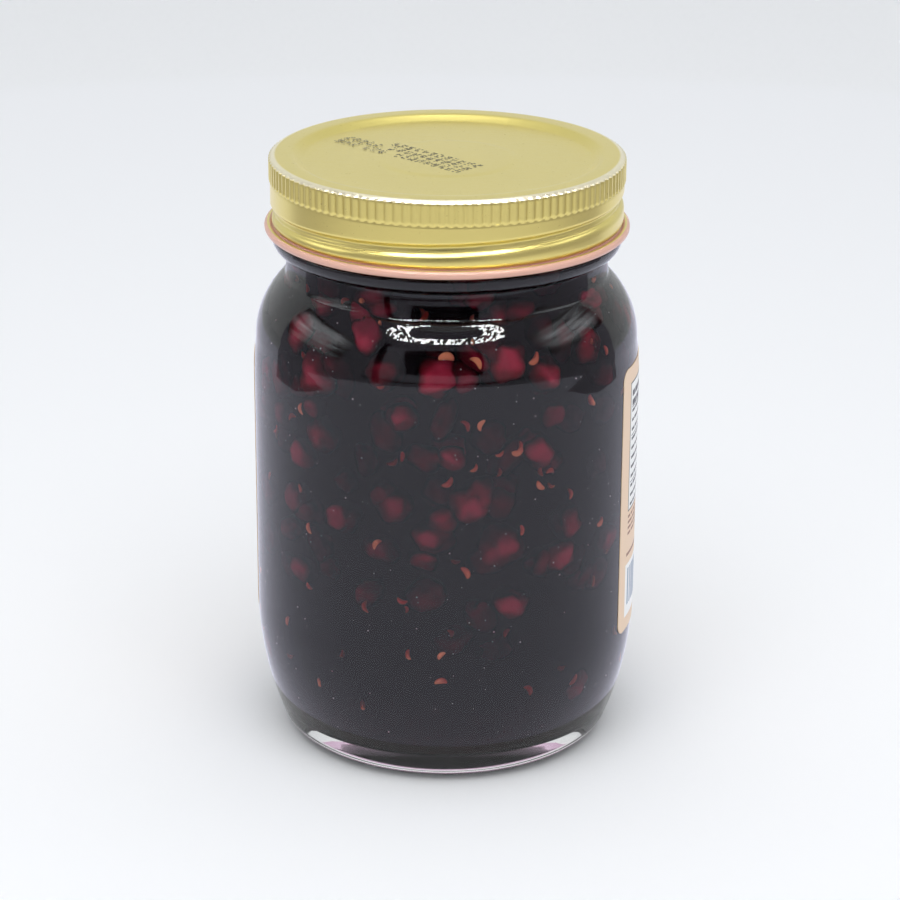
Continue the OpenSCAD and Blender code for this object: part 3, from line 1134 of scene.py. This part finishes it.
def flat_ring(name, radius, width, location=(0, 0, 0)):
    """A flat ring with a radius at its outside and a width."""
    deselect()
    bpy.ops.mesh.primitive_circle_add(vertices=96, radius=radius, fill_type="NGON", location=location)
    obj = named(name)
    edit_all()
    bpy.ops.mesh.inset(thickness=width)
    bpy.ops.mesh.delete(type="FACE")
    bpy.ops.object.mode_set(mode="OBJECT")
    return obj


def studio_world():
    """An even pale room, a little dimmer overhead."""
    world = bpy.data.worlds.new("studio")
    world.use_nodes = True
    tree = world.node_tree
    tree.nodes.clear()
    parts = add_node(tree, "SeparateXYZ", {"Vector": coordinates(tree, "Generated")})
    strength = remap(tree, parts.outputs["Z"], 0.2, 0.9, 0.84, 0.75)
    back = add_node(tree, "Background", {"Color": linear("#F8FAFC"), "Strength": strength})
    add_node(tree, "OutputWorld", {"Surface": back.outputs[0]})
    return world


class JAMJAR_OT_print(bpy.types.Operator):
    """Prints plain fields, bars and fruit shapes on the label, with no lettering"""

    bl_idname = "jam_jar.label_print"
    bl_label = "Label print"

    def execute(self, context):
        jar = JarOutline()
        label = settings().label
        self.inks = {
            "white": ink("white_ink", "#F4F4F2"), "black": ink("black_ink", "#3A3A3C"),
            "brown": ink("brown_ink", "#9A6A50"), "blue": ink("slate_blue_ink", "#8FA0B4"),
            "cream": ink("cream_ink", "#F6E9D2"), "berry": ink("berry_ink", "#4A1630"),
            "red": ink("red_ink", "#A8324A"), "leaf": ink("leaf_ink", "#5F7A48")}
        self.shapes = []
        length_mm = label.span * jar.body_r / MM
        self.facts_panel()
        self.bars_box()
        self.front_panel(length_mm / 2 + 10.0)
        self.border(length_mm)
        obj = join("label_print", self.shapes)
        cut_for_bending(obj, length_mm * MM)
        paper = (LABEL_BOX[1].x - jar.body_r) * PAPER_SHARE
        bend_round_jar(obj, jar, paper)
        smooth(obj, 40)
        finish_piece(obj, [], "label")
        return {"FINISHED"}

    def field(self, ink_name, s0, z0, s1, z1, layer=0, corner=0.0):
        """A field of ink from (s0, z0) to (s1, z1), in millimetres along and up the label."""
        deselect()
        bpy.ops.mesh.primitive_plane_add(size=1.0)
        obj = bpy.context.object
        obj.data.transform(
            Matrix.Translation(((s0 + s1) / 2 * MM, 0, (z0 + z1) / 2 * MM))
            @ Matrix.Rotation(math.pi / 2, 4, "X")
            @ Matrix.Diagonal(((s1 - s0) * MM, (z1 - z0) * MM, 1, 1)))
        if corner:
            round_corners(corner * MM, 6)
        self.thicken(obj, ink_name, layer)

    def disc(self, ink_name, s, z, rs, rz, layer=0, tilt=0.0):
        deselect()
        bpy.ops.mesh.primitive_circle_add(vertices=20, radius=1.0, fill_type="NGON")
        obj = bpy.context.object
        obj.data.transform(
            Matrix.Translation((s * MM, 0, z * MM)) @ Matrix.Rotation(tilt, 4, "Y")
            @ Matrix.Rotation(math.pi / 2, 4, "X") @ Matrix.Diagonal((rs * MM, rz * MM, 1, 1)))
        self.thicken(obj, ink_name, layer)

    def thicken(self, obj, ink_name, layer):
        obj.data.materials.append(self.inks[ink_name])
        pick(obj)
        edit_all()
        bpy.ops.mesh.extrude_region_move(
            TRANSFORM_OT_translate={"value": (0, INK_LAYER * (layer + 1), 0)})
        close_mesh()
        self.shapes.append(obj)

    def line_of_bars(self, rng, ink_name, ends, z, height, widths, gap, layer=0):
        """A line of short bars below z, their widths random, in place of a line of print."""
        start, stop = ends
        while start < stop:
            width = rng.uniform(*widths)
            self.field(ink_name, start, z - height, min(start + width, stop), z, layer)
            start += width + gap

    def facts_panel(self):
        """White panel with a thin black border, rules and grey bars."""
        self.field("black", 4.3, 51.5, 44.0, 79.6)
        self.field("white", 4.6, 51.8, 43.7, 79.3, 1)
        rng = random.Random(21)
        for row in range(13):
            z = 77.6 - row * 2.05
            heavy = row in (0, 1)
            stop = 20.0 if heavy else rng.uniform(18.0, 24.0)
            self.line_of_bars(rng, "black", (5.6, stop), z, 1.25 if heavy else 0.62, (1.4, 3.6), 0.55, 2)
            self.field("black", 38.0, z - 0.62, 42.2, z, 2)
            if row in (1, 4, 9):
                self.field("black", 5.4, z - 1.62, 42.9, z - 1.42, 2)

    def bars_box(self):
        """Lines of small brown bars and a white box of upright bars."""
        rng = random.Random(4)
        for row, stop in enumerate((44.0, 44.0, 44.0, 30.0)):
            self.line_of_bars(rng, "brown", (4.4, stop), 50.6 - row * 1.25, 0.6, (1.2, 3.8), 0.5)
        self.field("brown", 3.9, 41.6, 26.0, 42.3)
        self.field("white", 3.5, 28.0, 34.0, 39.75)
        s = 5.0
        while s < 31.5:
            width = rng.choice((0.35, 0.35, 0.7, 1.0))
            self.field("blue", s, 30.4, s + width, 38.6, 1)
            s += width + rng.choice((0.4, 0.4, 0.75))

    def front_panel(self, middle):
        """A cream panel with a brown line round it, a cluster of round fruit, leaves and plain bars."""
        self.field("brown", middle - 31.0, 27.4, middle + 31.0, 80.4, 0, 5.0)
        self.field("cream", middle - 30.4, 28.0, middle + 30.4, 79.8, 1, 4.6)
        for row, half in enumerate((21.0, 15.0)):
            self.field("berry", middle - half, 70.5 - row * 6.0, middle + half, 74.2 - row * 6.0, 2, 1.2)
        heap = [(6.0 * i - 3.0 * (in_row - 1), 5.0 * row)
                for row, in_row in enumerate((4, 3, 2)) for i in range(in_row)]
        for k, (across, up) in enumerate(heap):
            self.disc("red" if k % 3 == 1 else "berry", middle + across, 41.5 + up, 2.8, 2.8, 2)
        for side in (-1, 1):
            self.disc("leaf", middle + side * 15.5, 50.0, 5.6, 2.4, 2, side * 0.6)
            self.disc("leaf", middle + side * 17.0, 43.5, 5.0, 2.1, 2, side * -0.3)
        self.field("brown", middle - 18.0, 32.0, middle + 18.0, 33.2, 2)

    def border(self, length_mm):
        """A thin line near the label's hidden end."""
        self.field("brown", length_mm - 4.0, 28.0, length_mm - 3.6, 80.0)


class JAMJAR_OT_stage(bpy.types.Operator):
    """Makes the pale floor, the soft lights, the reflected room and the camera"""

    bl_idname = "jam_jar.stage"
    bl_label = "Stage"

    def execute(self, context):
        scene = context.scene
        scene.view_settings.view_transform = "Standard"
        scene.world = studio_world()
        self.make_floor()
        self.make_dark_room()
        self.make_floor_sheen()
        self.make_ring()
        self.make_softbox()
        self.make_camera(scene)
        return {"FINISHED"}

    def make_floor(self):
        deselect()
        bpy.ops.mesh.primitive_circle_add(vertices=96, radius=4.0, fill_type="NGON", location=(0, 0, 0))
        floor = named("floor")
        floor.data.materials.append(floor_paint())

    def make_dark_room(self):
        """The unlit room around the photographer, seen only in the glass and the gold."""
        strips, half_angle = 24, math.radians(114)
        angles = [half_angle * (2 * i / strips - 1) for i in range(strips + 1)]
        wall = [(0.9, 0.006), (1.2, 0.5), (0.9, 1.0), (0.55, 1.2)]
        # The lit sheet of floor, where the room starts, ends nearer at the sides than at the front
        floor_side, floor_front = 0.30, 0.57
        starts = [floor_side + (floor_front - floor_side) * max(0.0, math.cos(a)) for a in angles]
        verts = [(r * math.sin(a), -r * math.cos(a), 0.004) for r, a in zip(starts, angles)]
        verts += [(r * math.sin(a), -r * math.cos(a), z) for r, z in wall for a in angles]
        n = len(angles)
        faces = [(j * n + i, j * n + i + 1, (j + 1) * n + i + 1, (j + 1) * n + i)
                 for j in range(len(wall)) for i in range(strips)]
        mesh = bpy.data.meshes.new("dark_room")
        mesh.from_pydata(verts, [], faces)
        mesh.materials.append(glowing("unlit_room", linear("#ACA8B6")))
        obj = bpy.data.objects.new("dark_room", mesh)
        bpy.context.collection.objects.link(obj)
        shown_only_in_gloss(obj)
        black = glowing("black_cloth", linear("#18141A"))
        grey = glowing("grey_frame", linear("#C8C4D2"))
        tent = tent_cloth()
        panel("camera_opening", black, -1, 22, 0.62, 0.50, 0.34)
        panel("camera_opening_left", grey, -33, 18, 0.64, 0.13, 0.44)
        panel("camera_opening_right", grey, 30, 18, 0.64, 0.15, 0.44)
        panel("camera_opening_foot", grey, -1, 1.5, 0.64, 0.62, 0.085)
        panel("left_post", black, -40.5, 14, 0.63, 0.045, 0.62)
        panel("floor_edge", black, 0, -4.6, 0.60, 1.5, 0.018)
        panel("ceiling_lamp", glowing("ceiling_lamp", linear("#FFFFFF"), 1.9), 180, 82, 0.8, 0.6, 0.34)
        panel("tent_left", tent, -88, 22, 0.7, 0.62, 0.34)
        panel("tent_right", tent, 90, 31, 0.7, 0.62, 0.36)

    def make_floor_sheen(self):
        """The lit sheet of floor as the glass and the gold see it, a little bluer than to the eye."""
        sheen = flat_ring("floor_in_gloss", 0.58, 0.538, (0, 0, 0.001))
        sheen.data.materials.append(glowing("floor_in_gloss", (1.0, 1.0, 1.17, 1.0)))
        bpy.ops.object.transform_apply(location=True, rotation=True, scale=True)
        shown_only_in_gloss(sheen)

    def make_softbox(self):
        """The main lamp, over the front; it isn't seen in the glass."""
        light_data = bpy.data.lights.new("front_softbox", "AREA")
        light_data.shape = "RECTANGLE"
        light_data.size, light_data.size_y = 0.8, 0.6
        light_data.energy = 3.6
        light = bpy.data.objects.new("front_softbox", light_data)
        light.location = (0.0, -0.42, 0.85)
        light.rotation_euler = (math.radians(26), 0, 0)
        light.visible_glossy = False
        bpy.context.collection.objects.link(light)

    def make_ring(self):
        """A ring of small lamps over the front, seen as a speckled ring in the shoulder."""
        ring = flat_ring("lamp_ring", 1.0, 0.42)
        ring.data.transform(facing_jar(0, 62, 0.7, 0.39, 0.205, 0.095))
        ring.data.materials.append(ring_lamps())
        shown_only_in_gloss(ring)

    def make_camera(self, scene):
        camera_data = bpy.data.cameras.new("camera")
        camera = bpy.data.objects.new("camera", camera_data)
        bpy.context.collection.objects.link(camera)
        camera_data.sensor_width = 36.0
        camera_data.lens = CAMERA_LENS
        camera_data.clip_start = 0.05
        camera.matrix_world = (
            Matrix.Translation(Vector(CAMERA_PLACE) * MM)
            @ Matrix.Rotation(math.pi / 2 - math.radians(CAMERA_DOWN), 4, "X")
            @ Matrix.Rotation(math.radians(CAMERA_ROLL), 4, "Z"))
        scene.camera = camera


PIECES = (
    JAMJAR_OT_glass, JAMJAR_OT_syrup, JAMJAR_OT_fruit, JAMJAR_OT_seeds, JAMJAR_OT_bubbles,
    JAMJAR_OT_cap, JAMJAR_OT_code, JAMJAR_OT_label, JAMJAR_OT_print, JAMJAR_OT_stage,
)


class JAMJAR_PT_panel(bpy.types.Panel):
    """Lists the jar's pieces"""

    bl_idname = "JAMJAR_PT_panel"
    bl_label = "Jam jar"
    bl_space_type = "VIEW_3D"
    bl_region_type = "UI"
    bl_category = "Jam jar"

    def draw(self, context):
        for piece in PIECES:
            self.layout.operator(piece.bl_idname)


CLASSES = (GlassSettings, JamSettings, CapSettings, LabelSettings, JarSettings) + PIECES + (JAMJAR_PT_panel,)


def register():
    for cls in CLASSES:
        bpy.utils.register_class(cls)
    bpy.types.Scene.jam_jar = bpy.props.PointerProperty(type=JarSettings)


def unregister():
    del bpy.types.Scene.jam_jar
    for cls in reversed(CLASSES):
        bpy.utils.unregister_class(cls)


def main():
    register()
    for piece in PIECES:
        group, name = piece.bl_idname.split(".")
        getattr(getattr(bpy.ops, group), name)()


if __name__ == "__main__":
    main()
